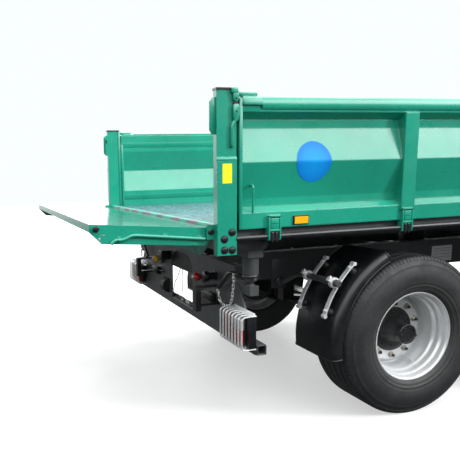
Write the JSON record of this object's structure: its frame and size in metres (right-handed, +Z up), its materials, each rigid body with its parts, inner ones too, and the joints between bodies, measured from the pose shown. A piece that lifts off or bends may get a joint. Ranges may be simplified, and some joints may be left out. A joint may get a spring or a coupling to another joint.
{
  "type": "tandem-axle three-way tipper trailer",
  "caption": "Two-axle drop-side tipper trailer with a green steel bed, let-down tailgate, dark chassis, quarter mudguards, telescopic hoist and a drawbar with jack.",
  "frame": {"origin": "on the ground under the middle of the whole trailer, from the let-down tailgate to the tow eye", "axes": "+X forward to the drawbar, +Y to the left, +Z up"},
  "size_m": [7.2634, 2.538, 2.064],
  "materials": {
    "tyre": "ribbed rubber tread with smooth side walls",
    "rim_silver": "silver wheel paint, satin",
    "chassis_grey": "anthracite chassis paint, semi-gloss",
    "green": "mid green gloss paint",
    "floor_green": "worn grey-green paint on a steel floor",
    "black_plastic": "moulded black plastic",
    "galvanised": "galvanised steel",
    "black_steel": "black paint on steel",
    "lamp_red": "red lamp lens",
    "amber": "amber lamp lens",
    "red": "red coupling body",
    "yellow": "yellow coupling body",
    "rubber": "black rubber",
    "chrome": "chromed cylinder stage"
  },
  "bodies": {
    "chassis": {"chassis_frame": "chassis_grey", "rear_plate": "chassis_grey", "buffer_tube": "chassis_grey", "tail_lamps": "lamp_red", "lamp_guards": "galvanised", "buffer_frames": "black_steel", "coupling_red": "red", "coupling_yellow": "yellow", "cable_sockets": "black_plastic", "rubber_bumper": "rubber", "axles": "black_steel", "springs": "black_steel", "mudguards": "black_plastic", "mudguard_brackets": "galvanised", "drawbar": "chassis_grey", "tow_eye": "black_steel", "jack": "galvanised", "air_tank": "black_steel"},
    "bed": {"bed_floor": "floor_green", "bed_frame": "chassis_grey", "corner_sockets": "chassis_grey", "corner_posts": "green", "headboard": "green", "latch_levers": "green", "hinge_rods": "black_steel"},
    "board_left": {"side_board_left": "green", "side_markers_left": "amber"},
    "board_right": {"side_board_right": "green", "side_markers_right": "amber"},
    "tailgate": {"tailgate": "green"},
    "hoist_barrel": {"hoist_barrel": "black_steel"},
    "hoist_stage_1": {"hoist_stage_1": "chrome"},
    "hoist_stage_2": {"hoist_stage_2": "chrome"},
    "hoist_stage_3": {"hoist_stage_3": "chrome"},
    "hoist_stage_4": {"hoist_stage_4": "chrome"},
    "wheel_rear_left": {"tyre_rear_left": "tyre", "rim_rear_left": "rim_silver", "hub_rear_left": "black_steel"},
    "wheel_rear_right": {"tyre_rear_right": "tyre", "rim_rear_right": "rim_silver", "hub_rear_right": "black_steel"},
    "wheel_front_left": {"tyre_front_left": "tyre", "rim_front_left": "rim_silver", "hub_front_left": "black_steel"},
    "wheel_front_right": {"tyre_front_right": "tyre", "rim_front_right": "rim_silver", "hub_front_right": "black_steel"}
  },
  "joints": [
    {"name": "wheel_rear_left_spin", "type": "hinge", "parent": "chassis", "child": "wheel_rear_left", "pos_m": [-1.49833, 1.01, 0.536], "axis": [0, 1, 0], "continuous": true},
    {"name": "wheel_rear_right_spin", "type": "hinge", "parent": "chassis", "child": "wheel_rear_right", "pos_m": [-1.49833, -1.01, 0.536], "axis": [0, 1, 0], "continuous": true},
    {"name": "wheel_front_left_spin", "type": "hinge", "parent": "chassis", "child": "wheel_front_left", "pos_m": [-0.14833, 1.01, 0.536], "axis": [0, 1, 0], "continuous": true},
    {"name": "wheel_front_right_spin", "type": "hinge", "parent": "chassis", "child": "wheel_front_right", "pos_m": [-0.14833, -1.01, 0.536], "axis": [0, 1, 0], "continuous": true},
    {"name": "bed_tip", "type": "hinge", "parent": "chassis", "child": "bed", "pos_m": [-2.62633, 0, 1], "axis": [0, -1, 0], "range_deg": [0, 50]},
    {"name": "tailgate_hinge", "type": "hinge", "parent": "bed", "child": "tailgate", "pos_m": [-2.95933, 0, 1.313], "axis": [0, 1, 0], "range_deg": [0, 85.5]},
    {"name": "board_left_hinge", "type": "hinge", "parent": "bed", "child": "board_left", "pos_m": [-0.43933, 1.25, 1.27], "axis": [-1, 0, 0], "range_deg": [0, 180]},
    {"name": "board_right_hinge", "type": "hinge", "parent": "bed", "child": "board_right", "pos_m": [-0.43933, -1.25, 1.27], "axis": [1, 0, 0], "range_deg": [0, 180]},
    {"name": "hoist_lean", "type": "hinge", "parent": "chassis", "child": "hoist_barrel", "pos_m": [-0.43933, 0, 0.9], "axis": [0, -1, 0], "range_deg": [0, 25.93]},
    {"name": "hoist_stage_1_slide", "type": "slide", "parent": "hoist_barrel", "child": "hoist_stage_1", "axis": [0, 0, 1], "range_m": [0, 0.45584]},
    {"name": "hoist_stage_2_slide", "type": "slide", "parent": "hoist_stage_1", "child": "hoist_stage_2", "axis": [0, 0, 1], "range_m": [0, 0.45584]},
    {"name": "hoist_stage_3_slide", "type": "slide", "parent": "hoist_stage_2", "child": "hoist_stage_3", "axis": [0, 0, 1], "range_m": [0, 0.45584]},
    {"name": "hoist_stage_4_slide", "type": "slide", "parent": "hoist_stage_3", "child": "hoist_stage_4", "axis": [0, 0, 1], "range_m": [0, 0.45584]}
  ],
  "couplings": [
    {"joint": "hoist_lean", "follows": "bed_tip", "ratio": 0.51843},
    {"joint": "hoist_stage_1_slide", "follows": "bed_tip", "m_per_rad": 0.52213},
    {"joint": "hoist_stage_2_slide", "follows": "bed_tip", "m_per_rad": 0.52213},
    {"joint": "hoist_stage_3_slide", "follows": "bed_tip", "m_per_rad": 0.52213},
    {"joint": "hoist_stage_4_slide", "follows": "bed_tip", "m_per_rad": 0.52213}
  ]
}
